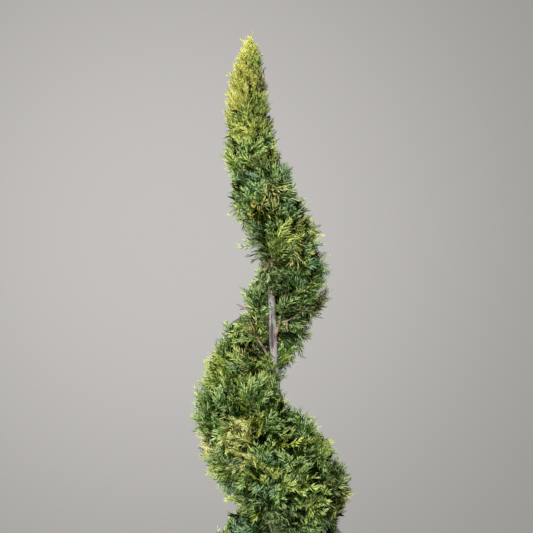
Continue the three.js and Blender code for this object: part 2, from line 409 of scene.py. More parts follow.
def soil_mesh():
    """The soil as one closed lump: its top from the middle out, then down the wall to its base."""
    soil = bmesh.new()
    brim, base = soil_high.z - SOIL_BRIM, soil_low.z
    turns = [math.tau * k / SOIL_SIDES for k in range(SOIL_SIDES)]
    round_turn = [(math.cos(turn), math.sin(turn)) for turn in turns]
    rings = []
    for radius in np.linspace(0, soil_radius(brim), SOIL_RINGS)[1:]:
        places = [(radius * x, radius * y) for x, y in round_turn]
        rings.append([soil.verts.new((x, y, soil_height(x, y))) for x, y in places])
    for z in (brim + (base - brim) * 0.08, (brim + base) / 2, base):
        radius = soil_radius(z)
        rings.append([soil.verts.new((radius * x, radius * y, z)) for x, y in round_turn])
    for inner, outer in zip(rings, rings[1:]):
        for k in range(SOIL_SIDES):
            j = (k + 1) % SOIL_SIDES
            soil.faces.new((inner[k], outer[k], outer[j], inner[j]))
    top = soil.verts.new((0, 0, soil_height(0, 0)))
    under = soil.verts.new((0, 0, base))
    for k in range(SOIL_SIDES):
        j = (k + 1) % SOIL_SIDES
        soil.faces.new((top, rings[0][k], rings[0][j]))
        soil.faces.new((under, rings[-1][j], rings[-1][k]))
    bmesh.ops.recalc_face_normals(soil, faces=soil.faces)
    return mesh_of("soil", soil)


def compost(name, brown, pale_share):
    """Crumbly bark: dark between brown lumps, with paler flecks."""
    material, tree, shader = finish_material(name, brown, 0.95)
    at = object_position(tree)
    lumps = noise_on(tree, at, 150.0, 4.0)
    fibres = noise_on(tree, at * (1.0, 0.4, 1.0), 700.0, 3.0)
    browned = step(tree, lumps * 0.7 + fibres * 0.3, 0.42, 0.62)
    colour = blend(tree, browned, COMPOST_DARK, brown)
    pale = step(tree, noise_on(tree, at, 260.0, 1.0), 0.60, 0.66) * pale_share
    feed(tree, shader, Base_Color=blend(tree, pale, colour, CHIP_PALE))
    feed(tree, shader, Normal=bump(tree, lumps + fibres * 0.5, 1.2 * MM))
    return material


def hidden_shapes(name, meshes):
    """Meshes as a collection that isn't shown itself, for a tree to pick from."""
    shapes = bpy.data.collections.new(name)
    for k, mesh in enumerate(meshes):
        shapes.objects.link(bpy.data.objects.new(f"{name}_{k}", mesh))
    return shapes


def crumb_meshes():
    """A few rough lumps and chips."""
    draw = np.random.default_rng(3)
    meshes = []
    for size in CRUMB_SHAPES:
        lump = bmesh.new()
        bmesh.ops.create_icosphere(lump, subdivisions=1, radius=1)
        for vert in lump.verts:
            vert.co = Vector(vert.co[i] * size[i] * MM * draw.uniform(0.72, 1.2) for i in range(3))
        meshes.append(mesh_of("crumb", lump))
    return meshes


def random_value(tree, seed, kind, low, high):
    sockets = {"Min": low, "Max": high, "Seed": seed}
    return add_node(tree, "FunctionNodeRandomValue", {"data_type": kind}, sockets)


def scattered_crumbs():
    """Scatters crumbs over the faces of the soil that look upwards."""
    tree, given = node_tree(
        "Scattered crumbs",
        Shapes="Collection",
        Per_square_metre=CRUMBS_PER_M2,
        Smallest=CRUMB_SMALLEST,
        Largest=CRUMB_LARGEST,
        Seed=1,
        Finish="Material",
    )
    seed = given["Seed"]
    facing = upward_part(tree, add_node(tree, "GeometryNodeInputNormal"))
    sockets = {"A": facing, "B": 0.6}
    upward = add_node(tree, "FunctionNodeCompare", {"operation": "GREATER_THAN"}, sockets)
    sockets = {"Mesh": given["Geometry"], "Selection": upward, "Seed": seed}
    sockets["Density"] = given["Per square metre"]
    spread = {"distribute_method": "RANDOM"}
    points = add_node(tree, "GeometryNodeDistributePointsOnFaces", spread, sockets)
    turn = random_value(tree, seed, "FLOAT_VECTOR", (-0.5, -0.5, 0), (0.5, 0.5, math.tau))
    size = random_value(tree, seed, "FLOAT", given["Smallest"], given["Largest"])
    sockets = {"Collection": given["Shapes"], "Separate Children": True}
    shapes = add_node(tree, "GeometryNodeCollectionInfo", {}, sockets)
    sockets = {"Points": points, "Instance": shapes, "Pick Instance": True}
    sockets |= {"Rotation": turn, "Scale": size}
    crumbs = add_node(tree, "GeometryNodeInstanceOnPoints", {}, sockets)
    return end_tree(tree, finished(tree, crumbs, given["Finish"]))


soil = shown("compost", soil_mesh())
soil.data.materials.append(compost("compost", COMPOST_BROWN, 0.35))
smooth(soil)
crumbs = grown(
    "bark_crumbs",
    shown("crumb bed", soil.data.copy()),
    scattered_crumbs(),
    Shapes=hidden_shapes("crumbs", crumb_meshes()),
    Finish=compost("bark chips", CHIP_BROWN, 0.8),
)
for piece in (soil, crumbs):
    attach(piece, "root")
    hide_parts("potting_soil")


# ---- The trunk ----
# One slim stem with fibrous bark that splits into upright strips. It flares a little at the soil,
# leans to the left higher up and ends inside the spire.

TRUNK_SIDES = 56
TRUNK_STEP = 3.2 * MM
TRUNK_SUNK = 8 * MM
BARK_SPLIT = 0.75 * MM
BARK_STRIP_WIDTH = 5.5 * MM
BARK_STRIP_LENGTH = 60 * MM
BARK_LIGHT = (0.37, 0.35, 0.36)
BARK_MAUVE = (0.115, 0.090, 0.100)
BARK_CRACK = (0.055, 0.034, 0.028)
BARK_WARM = (0.30, 0.165, 0.095)


def corners_of(name):
    """The triangles of a solid of the frame, as an array of their three corners."""
    mesh = frame["nodes"][name].data
    mesh.calc_loop_triangles()
    points = np.zeros(len(mesh.vertices) * 3, np.float32)
    mesh.vertices.foreach_get("co", points)
    faces = np.zeros(len(mesh.loop_triangles) * 3, np.int32)
    mesh.loop_triangles.foreach_get("vertices", faces)
    return points.reshape(-1, 3).astype(float)[faces.reshape(-1, 3)]


def trunk_rings():
    """Height, middle and radius of each ring of the trunk's solid, from the soil to the tip."""
    points = np.unique(np.round(corners_of("trunk").reshape(-1, 3), 5), axis=0)
    rings = []
    for z in np.unique(np.round(points[:, 2], 4)):
        ring = points[np.abs(points[:, 2] - z) < 0.1 * MM]
        if len(ring) >= 12:
            outer = ring[np.argsort(-np.hypot(*(ring[:, :2] - ring[:, :2].mean(0)).T))[:12]]
            middle = outer[:, :2].mean(0)
            rings.append([z, *middle, np.hypot(*(outer[:, :2] - middle).T).mean()])
    return np.array(rings)


RINGS = trunk_rings()


def trunk_middle(z):
    x, y = (np.interp(z, RINGS[:, 0], RINGS[:, column]) for column in (1, 2))
    return np.array([x, y, z])


def trunk_girth(z):
    return float(np.interp(z, RINGS[:, 0], RINGS[:, 3]))


def path_object(name, limbs):
    """Open paths as loose edges, with the limb's radius at each point, from (points, radii) pairs."""
    points = np.concatenate([p for p, _ in limbs])
    counts = np.cumsum([0] + [len(p) for p, _ in limbs])
    edges = [(i, i + 1) for a, b in zip(counts, counts[1:]) for i in range(a, b - 1)]
    mesh = bpy.data.meshes.new(name)
    mesh.from_pydata(points.tolist(), edges, [])
    radii = mesh.attributes.new("girth", "FLOAT", "POINT")
    radii.data.foreach_set("value", np.concatenate([r for _, r in limbs]).astype(np.float32))
    return shown(name, mesh)


def stored(tree, name, kind):
    """An attribute that the source mesh brings along."""
    settings = {"data_type": kind}
    return add_node(tree, "GeometryNodeInputNamedAttribute", settings, {"Name": name})


def barked_limbs():
    """Skins paths with round bark, split into long strips along the grain."""
    tree, given = node_tree(
        "Barked limbs",
        Sides=TRUNK_SIDES,
        Step=TRUNK_STEP,
        Split_depth=BARK_SPLIT,
        Strip_width=BARK_STRIP_WIDTH,
        Strip_length=BARK_STRIP_LENGTH,
        Finish="Material",
    )
    paths = add_node(tree, "GeometryNodeMeshToCurve", {}, {"Mesh": given["Geometry"]})
    sockets = {"Curve": paths, "Length": given["Step"]}
    paths = add_node(tree, "GeometryNodeResampleCurve", {"mode": "LENGTH"}, sockets)
    sockets = {"Resolution": given["Sides"], "Radius": 1.0}
    ring = add_node(tree, "GeometryNodeCurvePrimitiveCircle", {}, sockets)
    sockets = {"Curve": paths, "Profile Curve": ring, "Fill Caps": True}
    sockets["Scale"] = stored(tree, "girth", "FLOAT")
    skin = add_node(tree, "GeometryNodeCurveToMesh", {}, sockets)
    across, along = 1 / given["Strip width"], 1 / given["Strip length"]
    grain = add_node(tree, "ShaderNodeCombineXYZ", {}, {"X": across, "Y": across, "Z": along})
    at = add_node(tree, "GeometryNodeInputPosition") * grain
    strips = noise_on(tree, at, 1.0, 2.0)
    fibres = noise_on(tree, at, 3.4, 2.0)
    relief = step(tree, strips, 0.40, 0.56) * 0.7 + fibres * 0.6 - 0.65
    push = add_node(tree, "GeometryNodeInputNormal") * (relief * given["Split depth"])
    skin = add_node(tree, "GeometryNodeSetPosition", {}, {"Geometry": skin, "Offset": push})
    skin = add_node(tree, "GeometryNodeSetShadeSmooth", {}, {"Geometry": skin})
    return end_tree(tree, finished(tree, skin, given["Finish"]))


def trunk_bark():
    """Grey strips over mauve bark, with dark cracks between and a few warm patches."""
    material, tree, shader = finish_material("grey mauve bark", BARK_MAUVE, 0.8)
    at = object_position(tree)
    grain = at * (1.0, 1.0, 0.12)
    strips = noise_on(tree, grain, 170.0, 2.0)
    fibres = noise_on(tree, grain, 620.0, 3.0)
    patches = noise_on(tree, at, 34.0, 3.0)
    light = step(tree, strips * 0.55 + patches * 0.45, 0.40, 0.58)
    colour = blend(tree, light, BARK_MAUVE, BARK_LIGHT)
    crack = 1 - step(tree, strips * 0.6 + fibres * 0.4, 0.34, 0.47)
    colour = blend(tree, crack, colour, BARK_CRACK)
    colour = blend(tree, step(tree, patches, 0.58, 0.70) * 0.25, colour, BARK_WARM)
    feed(tree, shader, Base_Color=colour, Roughness=0.68 + crack * 0.25)
    feed(tree, shader, Normal=bump(tree, fibres * 0.7 + strips, 0.9 * MM))
    return material


LIMB_SKIN = barked_limbs()
trunk_heights = np.arange(RINGS[0, 0] - TRUNK_SUNK, RINGS[-1, 0], 6 * MM)
trunk_path = np.array([trunk_middle(z) for z in trunk_heights])
trunk_radii = np.array([trunk_girth(z) for z in trunk_heights])
trunk = grown(
    "trunk_bark",
    path_object("trunk path", [(trunk_path, trunk_radii)]),
    LIMB_SKIN,
    Finish=trunk_bark(),
)
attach(trunk, "root")
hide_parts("trunk")


# ---- Where the clipped crown ends ----
# The shears leave the tips of the shoots on one winding surface: the skin of the spire and of the
# band's masses, apart from the faces where one mass goes on into the next or is cut round the wood.

TIP_SPACING = 15.5 * MM
TIP_TRIES = 90000
SEAM = 3 * MM
SPIRE = ["spire_foot", "spire_tip"]
MASSES = sorted(name for name in frame["nodes"] if name.startswith("foliage_"))
WOOD = ["trunk"] + sorted(name for name in frame["nodes"] if name.startswith("bough_"))
CROWN = SPIRE + MASSES


def skin_tree(names):
    """A search tree over several solids, its triangles, and which solid each triangle is of."""
    triangles = [corners_of(name) for name in names]
    owner = np.repeat(np.arange(len(names)), [len(t) for t in triangles])
    corners = np.concatenate(triangles)
    faces = np.arange(3 * len(corners)).reshape(-1, 3).tolist()
    return BVHTree.FromPolygons(corners.reshape(-1, 3).tolist(), faces), corners, owner


crown_skin, crown_corners, crown_owner = skin_tree(CROWN)
wood_skin = skin_tree(WOOD)[0]


def unit(vector):
    return vector / max(np.linalg.norm(vector), 1e-9)


def off_trunk(point):
    """How far a point stands off the trunk's middle."""
    return np.linalg.norm(point[:2] - trunk_middle(point[2])[:2])


def crown_tips():
    """Points spread evenly over the clipped surface: where, the surface's normal, and whose skin."""
    draw = np.random.default_rng(11)
    edges = crown_corners[:, 1:] - crown_corners[:, :1]
    cross = np.cross(edges[:, 0], edges[:, 1])
    area = np.linalg.norm(cross, axis=1)
    picked = draw.choice(len(area), TIP_TRIES, p=area / area.sum())
    u, v = draw.random((2, TIP_TRIES))
    u, v = np.where(u + v > 1, 1 - u, u), np.where(u + v > 1, 1 - v, v)
    around = [(x, y, z) for x in (-1, 0, 1) for y in (-1, 0, 1) for z in (-1, 0, 1)]
    taken, tips = {}, []
    for k, face in enumerate(picked):
        point = crown_corners[face, 0] + u[k] * edges[face, 0] + v[k] * edges[face, 1]
        cell = tuple((point // TIP_SPACING).astype(int))
        spacing = TIP_SPACING * min(0.48 + 6.0 * off_trunk(point), 1)
        cells = [(cell[0] + x, cell[1] + y, cell[2] + z) for x, y, z in around]
        near = [other for beside in cells for other in taken.get(beside, ())]
        if any(np.linalg.norm(point - other) < spacing for other in near):
            continue
        normal = cross[face] / area[face]
        start = Vector(point + normal * 0.1 * MM)
        met = [skin.ray_cast(start, Vector(normal), SEAM)[0] for skin in (crown_skin, wood_skin)]
        if any(place is not None for place in met):
            continue
        taken.setdefault(cell, []).append(point)
        tips.append((point, normal, int(crown_owner[face])))
    return tips


TIPS = crown_tips()


def depth_inside(point):
    """How far a point lies inside the crown's skin, negative outside it."""
    nearest, normal, _, distance = crown_skin.find_nearest(Vector(point))
    outside = (Vector(point) - nearest).dot(normal) > 0
    return -distance if outside else distance


# ---- The boughs ----
# Slim limbs of thin tan bark. Those that cross the groove follow their solids in the frame and then
# run on into the foliage. Inside each mass more of them climb from the trunk towards the clipped tips.

BOUGHS_PER_MASS = 7
BOUGH_JOINTS = 9
BOUGH_REACH = 0.66
BOUGH_CLIMB = 0.75
BOUGH_ROOT = 2.4 * MM
BOUGH_TIP = 0.8 * MM
BOUGH_ON = 20 * MM
BOUGH_ARCH = 5 * MM
CORE = 24 * MM
COLLAR = 0.45
STUBS = 26
STUBS_UP_TO = 1.2
TAN_BARK = (0.41, 0.315, 0.20)
BROWN_BARK = (0.125, 0.092, 0.058)


def bezier(start, bend, end, count):
    t = np.linspace(0, 1, count)[:, None]
    return (1 - t) ** 2 * start + 2 * t * (1 - t) * bend + t**2 * end


def solid_middle(name):
    """Points down the middle of a bough's solid, from the trunk out, and its radius at each."""
    points = np.unique(np.round(corners_of(name).reshape(-1, 3), 6), axis=0)
    first = points[np.argmin([off_trunk(p) for p in points])]
    last = points[np.argmax(np.linalg.norm(points - first, axis=1))]
    along = (points - first) @ unit(last - first) / np.linalg.norm(last - first)
    line, radii = [], []
    for share in (0.2, 0.4, 0.6, 0.8, 1.0):
        ring = points[np.abs(along - share) < 0.1]
        if len(ring) >= 5:
            line.append(ring.mean(0))
            radii.append(np.linalg.norm(ring - ring.mean(0), axis=1).mean())
    return np.array(line), np.array(radii)


def crossing_bough(name):
    """A bough along its solid, from the trunk's middle, or from its fork, on into the foliage."""
    line, radii = solid_middle(name)
    if name == "bough_right_arm":
        root = line[0] - (line[1] - line[0]) * 0.4
    else:
        root = trunk_middle((line[0] - unit(line[1] - line[0]) * 20 * MM)[2])
    heading, arch = unit(line[-1] - line[-2]), np.array([0, 0, BOUGH_ARCH])
    on = [line[-1] + heading * BOUGH_ON * s + arch * s * s for s in (0.35, 0.7, 1)]
    points = np.concatenate([[root], line, on])
    girth = np.concatenate([[radii[0] * 1.25], radii, radii[-1] * np.array([0.85, 0.7, 0.55])])
    return points, girth


def swollen(radii):
    """A limb's radii with the collar that it leaves the trunk with."""
    return radii * (1 + COLLAR * np.exp(-np.arange(len(radii)) / 1.1))


def inner_boughs():
    """Climbing boughs that spread over each mass, as (points, radii) pairs."""
    draw = np.random.default_rng(23)
    limbs = []
    for number, name in enumerate(CROWN):
        points = corners_of(name).reshape(-1, 3)
        core = points[np.array([off_trunk(p) for p in points]) < CORE]
        lowest, highest = (core if len(core) else points)[:, 2].min(), points[:, 2].max()
        own = [tip for tip, _, owner in TIPS if owner == number]
        if not own:
            continue
        chosen = [own[int(draw.integers(len(own)))]]
        while len(chosen) < min(BOUGHS_PER_MASS, len(own)):
            gaps = [min(np.linalg.norm(tip - c) for c in chosen) for tip in own]
            chosen.append(own[int(np.argmax(gaps))])
        for tip in chosen:
            out = off_trunk(tip)
            z = tip[2] - BOUGH_CLIMB * out * draw.uniform(0.7, 1.2)
            root = trunk_middle(np.clip(z, lowest + 16 * MM, highest))
            end = root + (tip - root) * BOUGH_REACH
            bend = root + (end - root) * np.array([0.55, 0.55, 0.35]) + draw.normal(0, 5 * MM, 3)
            line = bezier(root, bend, end, BOUGH_JOINTS)
            drift = np.cumsum(draw.normal(0, 0.9 * MM, (BOUGH_JOINTS, 3)), axis=0)
            wobble = drift * np.linspace(0, 1, BOUGH_JOINTS)[:, None]
            clear = [p for p in line if np.hypot(*(p - root)[:2]) > 12 * MM]
            if any(depth_inside(p) < 2 * MM for p in clear):
                continue
            girth = np.linspace(BOUGH_ROOT, BOUGH_TIP, BOUGH_JOINTS)
            limbs.append((line + wobble, girth * np.clip(out / 0.1, 0.45, 1.15)))
    return limbs


def cut_stubs():
    """Short stubs on the bare stretches of the trunk, where side shoots were cut away."""
    draw = np.random.default_rng(31)
    stubs = []
    while len(stubs) < STUBS:
        z = draw.uniform(RINGS[0, 0] + 30 * MM, STUBS_UP_TO)
        turn = draw.uniform(0, math.tau)
        out = unit(np.array([math.cos(turn), math.sin(turn), draw.uniform(0.3, 1.0)]))
        root = trunk_middle(z)
        length = trunk_girth(z) + draw.uniform(2.5, 7) * MM
        if depth_inside(root + out * 30 * MM) > 0:
            continue
        line = np.array([root + out * length * s for s in (0.3, 0.7, 1)])
        stubs.append((line, np.array([1.9, 1.5, 1.3]) * MM * draw.uniform(0.6, 1.1)))
    return stubs


DEAD_TWIGS = [  # bare dead ends, each from and to: across, deep and up, in mm
    ((-44, 12, 1141), (-73, 20, 1156)),
    ((-58, 16, 1147), (-67, 14, 1146)),
    ((18, -11, 1126), (19, -15, 1106)),
    ((-8, -9, 1236), (-30, -8, 1214)),
    ((-2, -8, 1230), (-14, -14, 1207)),
]


def straying(start, end, count, draw):
    """A line from place to place that strays a little on its way, from places in mm."""
    start, end = np.array(start) * MM, np.array(end) * MM
    return bezier(start, (start + end) / 2 + draw.normal(0, 2 * MM, 3), end, count)


def dead_twigs():
    draw = np.random.default_rng(41)
    twigs = []
    for start, end in DEAD_TWIGS:
        line = straying(start, end, 5, draw)
        twigs.append((line, np.array([1.7, 1.6, 1.4, 1.2, 0.9]) * MM * draw.uniform(0.8, 1.1)))
    return twigs


def thin_bark(name, pale, dark):
    """Thin bark with darker patches."""
    material, tree, shader = finish_material(name, pale, 0.75)
    at = object_position(tree)
    fibres = noise_on(tree, at, 520.0, 3.0)
    shade = step(tree, noise_on(tree, at, 60.0, 3.0) * 0.7 + fibres * 0.3, 0.42, 0.6)
    feed(tree, shader, Base_Color=blend(tree, shade, dark, pale))
    feed(tree, shader, Normal=bump(tree, fibres, 0.5 * MM))
    return material


crossing = [crossing_bough(name) for name in WOOD[1:]]
climbing = inner_boughs()
limbs = [(line, swollen(radii)) for line, radii in crossing + climbing]
boughs = grown(
    "boughs",
    path_object("bough paths", limbs + cut_stubs() + dead_twigs()),
    LIMB_SKIN,
    Sides=7,
    Step=7 * MM,
    Split_depth=0.35 * MM,
    Strip_width=3 * MM,
    Strip_length=14 * MM,
    Finish=thin_bark("tan bark", TAN_BARK, BROWN_BARK),
)
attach(boughs, "root")
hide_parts(*WOOD[1:])


# ---- The shoots ----
# Thin leafy shoots that leave the boughs, or the trunk where it is near, and bend outwards and
# upwards to end at the shears' surface. Neighbouring shoots lean the same way, in tufts.

SHOOT_LENGTH = 62 * MM
SHOOT_SHORTEST = 12 * MM
SHOOT_JOINTS = 7
SHOOT_ROOT = 1.0 * MM
SHOOT_TIP = 0.45 * MM
FOOT_OF_CROWN = 0.45
SPIRE_FROM = 1.38
UPPER_BAND = 1.1
BAND_TOP = 1.46
PIT_DEPTH = 23 * MM
PIT_BELOW = -0.24
PIT_MORE = 0.07
PITS_UP_TO = 1.40
TUFT_SET_BACK = 6
TUFT_RELIEF = 17
GAP_DEPTH = 30
TWIG_GREEN = (0.080, 0.095, 0.028)
TWIG_BROWN = (0.050, 0.036, 0.020)


def rising(z, start, span):
    """0 up to a height, and 1 from a span above it on."""
    return np.clip((z - start) / span, 0, 1)


def soft_noise(point, scale, seed):
    return noise.noise(Vector(point) * scale + Vector((seed, 1.7 * seed, -seed)))


def leaning(point, normal):
    """The way that a shoot points where it reaches the clipped surface."""
    outward = unit(np.append((point - trunk_middle(point[2]))[:2], 0))
    spire = rising(point[2], SPIRE_FROM, 0.16)
    rise = -0.10 if normal[2] < -0.35 else 0.55 + 0.75 * spire
    comb = np.array([soft_noise(point, 24, s) for s in (3, 7, 13)]) * (2.0 - 1.6 * spire)
    heading = unit(0.5 * normal + 0.30 * outward + np.array([0, 0, rise]) + comb)
    return unit(heading + normal * max(0.40 - 0.15 * spire - heading @ normal, 0))


def leaving_places():
    """Every place on the boughs' outer parts, and on the trunk, that a shoot can leave from."""
    places = [place for line, _ in crossing + climbing for place in line[2:]]
    places += [trunk_middle(z) for z in np.arange(FOOT_OF_CROWN, RINGS[-1, 0], 9 * MM)]
    tree = KDTree(len(places))
    for k, place in enumerate(places):
        tree.insert(place, k)
    tree.balance()
    return tree


LEAVING_PLACES = leaving_places()
CLIPPING = [  # across and up in mm, how wide, and how far cut back, or left long
    (-82, 1560, 44, -13), (-68, 1606, 20, -5), (-98, 1464, 18, 7), (-76, 1303, 20, -8),
    (-32, 1244, 16, -15), (-52, 1262, 20, -26), (-80, 1334, 14, 9), (-6, 1205, 16, -34),
    (-44, 1206, 14, 20), (-62, 1188, 14, -13), (-62, 1152, 14, 12), (-72, 1166, 12, 8),
    (-78, 1130, 14, 8), (-68, 1136, 14, 10), (-80, 1386, 18, 17), (30, 1404, 16, -14),
    (74, 1300, 20, -14), (44, 1332, 12, 6), (86, 1274, 12, -8), (-150, 1001, 12, -5),
    (62, 1360, 20, -4), (92, 1245, 20, -15), (100, 1216, 12, 6), (-117, 1086, 18, -34),
    (-140, 1030, 14, -10), (92, 1160, 12, -8), (70, 1114, 14, 8), (62, 1086, 18, -5),
    (-18, 1008, 15, -28), (52, 988, 18, 36), (28, 1012, 12, 14), (54, 962, 16, -14),
    (86, 930, 12, 11), (12, 1004, 18, 26), (100, 900, 12, 6), (136, 828, 14, -5), (108, 886, 16, 8),
    (118, 871, 12, -8), (-128, 904, 20, -9), (-100, 852, 16, -10), (-92, 814, 18, -34),
    (-86, 794, 10, 18), (-102, 768, 14, 4), (140, 790, 20, 8), (136, 754, 26, 48),
    (130, 800, 12, 8), (48, 866, 13, -22), (-27, 916, 12, -14), (0, 942, 12, -18),
    (-46, 1336, 11, -12), (-38, 1586, 8, 7),
]
GAPS = [  # across, up and width in mm, at the front
    (-63, 999, 14), (-83, 1037, 12), (27, 920, 15), (-74, 853, 13), (32, 1249, 10),
]
SPRIGS = [  # lone leafy sprigs, each from and to: across, deep and up, in mm
    ((-2, 2, 1048), (10, -4, 1078)), ((2, -4, 1044), (19, -12, 1065)),
    ((4, 6, 1058), (14, 2, 1070)), ((28, 16, 1078), (33, 12, 1060)),
    ((36, 18, 1084), (46, 14, 1070)), ((-30, 12, 1140), (-55, 8, 1183)),
    ((8, -10, 1138), (20, -22, 1164)), ((8, -10, 1138), (0, -22, 1166)),
    ((10, -12, 1146), (32, -24, 1152)), ((6, -9, 1128), (12, -27, 1150)),
    ((9, -12, 1143), (16, -28, 1160)), ((10, -13, 1147), (4, -30, 1148)),
    ((28, -13, 1132), (48, -20, 1150)), ((22, -12, 1128), (42, -20, 1114)),
    ((-34, -5, 1096), (-52, -14, 1116)), ((-52, 0, 1580), (-56, -2, 1627)),
    ((-54, 0, 1560), (-66, -4, 1600)), ((-30, -2, 1258), (-54, -4, 1274)),
    ((-14, -4, 1000), (-8, -16, 1037)), ((-18, -6, 1006), (-9, -18, 1040)),
    ((28, -92, 838), (46, -124, 872)), ((36, -94, 826), (53, -122, 854)),
    ((-26, 8, 1150), (-38, 4, 1180)),
]


def cut_back(point):
    """How much further than usual the shears, or a gap, keep the tips back at a place."""
    across, up = point[0] / MM, point[2] / MM
    amount = 0.0
    at_front = 1 - np.clip((point[1] / MM - 20) / 40, 0, 1)
    for x, z, width, cut in CLIPPING:
        near = math.exp(-(((across - x) / width) ** 2) - ((up - z) / width) ** 2)
        amount += near * (cut if cut > 0 else cut * at_front)
    for x, z, width in GAPS if point[1] < 0 else ():
        amount += GAP_DEPTH if math.hypot(across - x, up - z) < width else 0
    return amount * MM


def make_shoots():
    """Every shoot: its line, heading, face, place and normal on the skin, owner, hollow, cut."""
    draw = np.random.default_rng(47)
    shoots = []
    for point, normal, owner in TIPS:
        heading = leaning(point, normal)
        in_band = np.clip((BAND_TOP - point[2]) / 0.12, 0.25, 1)
        upper = rising(point[2], UPPER_BAND, 0.1) * rising(-point[2], -PITS_UP_TO, 0.08)
        in_pit = soft_noise(point, 26, 19) < PIT_MORE * upper + PIT_BELOW
        pit_depth = PIT_DEPTH * in_band if in_pit else 0
        relief = TUFT_RELIEF * in_band * soft_noise(point, 31, 83)
        tuft = (TUFT_SET_BACK * max(in_band, 0.75) - relief) * MM
        withdrawn = draw.uniform(-2, 3) * MM + tuft + pit_depth + cut_back(point)
        tip = point - normal * withdrawn * 0.8 - heading * withdrawn * 0.2
        length = min(SHOOT_LENGTH, SHOOT_SHORTEST + 0.75 * off_trunk(point))
        wanted = tip - heading * length + draw.normal(0, 9 * MM, 3)
        root = np.array(LEAVING_PLACES.find(wanted)[0])
        bend = tip - heading * 0.55 * np.linalg.norm(tip - root)
        line = bezier(root, bend, tip, SHOOT_JOINTS)
        face = unit(normal - (normal @ heading) * heading + draw.normal(0, 0.25, 3))
        hollow = np.clip((tuft + pit_depth) / (9 * MM) - 0.67, -1, 1)
        shoots.append((line, heading, face, point, normal, owner, hollow, withdrawn))
    top = crown_corners.reshape(-1, 3)[np.argmax(crown_corners[..., 2])] / MM
    leader = (trunk_middle(top[2] * MM - 45 * MM) / MM, top - np.array([7, 0, 2]))
    for k, (start, end) in enumerate([leader, *SPRIGS]):
        draw = np.random.default_rng((53, k))
        line = straying(start, end, SHOOT_JOINTS, draw)
        heading = unit(line[-1] - line[0])
        owner = int(crown_owner[crown_skin.find_nearest(Vector(line[0]))[2]])
        face = unit(draw.normal(0, 1, 3))
        shoots.append((line, heading, face, line[-1], heading, owner, -0.2, -60 * MM))
    return shoots


SHOOTS = make_shoots()
shoot_taper = np.linspace(SHOOT_ROOT, SHOOT_TIP, SHOOT_JOINTS)
twigs = grown(
    "shoots",
    path_object("shoot paths", [(line, shoot_taper) for line, *_ in SHOOTS]),
    LIMB_SKIN,
    Sides=3,
    Step=15 * MM,
    Split_depth=0.0,
    Strip_width=3 * MM,
    Strip_length=14 * MM,
    Finish=thin_bark("green twig bark", TWIG_GREEN, TWIG_BROWN),
)
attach(twigs, "root")
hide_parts(*CROWN)


# ---- The leaf sprays ----
# Flat feathery sprays of scale leaves, set to both sides of each shoot's outer part and at its tip.
# Each spray is an axis with narrow blades along it, more of them pale towards its tip.

SPRAY_LENGTH = 30 * MM
SPRAY_SPACING = 6.6 * MM
SMALLEST_SPRAY = 0.42
AXIS_WIDTH = 1.2 * MM
BLADE_WIDTH = 1.75 * MM
SHADE_BLADE_WIDTH = 5 * MM
SPIRE_TOP = 1.72
FILL_FROM, FILL_TO, FILL_STEP = 1.44, 1.62, 0.4 * MM
LEAF_SHINE, TIP_SHINE, SHADE_SHINE = 0.06, 0.12, 0.0
SPRAY_KINDS = [  # blades, longest blade in mm, how far the axis curls up, and how pale it is
    (15, 14.5, 0.16, 1.3),
    (14, 16.0, 0.04, 1.1),
    (15, 13.0, 0.26, 1.0),
    (14, 15.5, -0.12, 0.85),
    (15, 12.5, 0.10, 0.7),
    (14, 16.5, 0.34, 0.55),
]
SHADE_KINDS = [(7, 22.0, 0.1, 1.0), (6, 25.0, -0.1, 1.0), (8, 20.0, 0.2, 1.0)]


def frond(seed, blades, longest, curl, paleness, widest):
    """One spray, flat in XY and growing along X: its points, faces, and which faces are pale."""
    draw = np.random.default_rng(seed)
    points, faces, pale = [], [], []
    sway = draw.uniform(-0.15, 0.15)

    def axis_at(share):
        return SPRAY_LENGTH * np.array([share, sway * share**2, curl * share**2])

    def blade(root, heading, length, width, is_pale):
        side = unit(np.cross([0, 0, 1], heading)) * width / 2
        middle = root + heading * length * 0.46 - np.array([0, 0, 0.22 * width])
        end = root + heading * length + np.array([0, 0, length * draw.uniform(-0.15, 0.2)])
        first = len(points)
        points.extend([root, middle + side, middle - side, end])
        faces.extend([[first, first + 2, first + 3], [first, first + 3, first + 1]])
        pale.extend([is_pale, is_pale])

    for k in range(3):
        a, b = axis_at(k / 3), axis_at((k + 1) / 3)
        half = np.array([0, AXIS_WIDTH / 2 * (1 - k / 4), 0])
        first = len(points)
        points.extend([a - half, b - half, b + half, a + half])
        faces.append([first, first + 1, first + 2, first + 3])
        pale.append(False)
    for k in range(blades):
        share = 0.04 + 0.92 * (k + 0.5) / blades
        angle = (1 if k % 2 else -1) * math.radians(draw.uniform(10, 40))
        swell = math.sin(math.pi * min(share * 0.8 + 0.2, 1)) ** 0.7
        length = longest * (0.45 + 0.55 * swell) * draw.uniform(0.7, 1.2)
        heading = unit(np.array([math.cos(angle), math.sin(angle), draw.uniform(-0.3, 0.4)]))
        is_pale = draw.random() < paleness * share
        blade(axis_at(share), heading, length, widest * draw.uniform(0.8, 1.2), is_pale)
    end_heading = unit(np.array([1, 2 * sway, 2 * curl]))
    blade(axis_at(0.94), end_heading, longest * 0.7, widest, paleness > 0.6)
    return points, faces, pale


def spray_meshes(kinds, width):
    """A mesh for each kind of spray, with its pale faces marked."""
    meshes = []
    for k, (blades, longest, curl, paleness) in enumerate(kinds):
        points, faces, pale = frond(100 + k, blades, longest * MM, curl, paleness, width)
        mesh = bpy.data.meshes.new("spray")
        mesh.from_pydata([tuple(p) for p in points], [], faces)
        mesh.attributes.new("pale", "BOOLEAN", "FACE").data.foreach_set("value", pale)
        meshes.append(mesh)
    return meshes


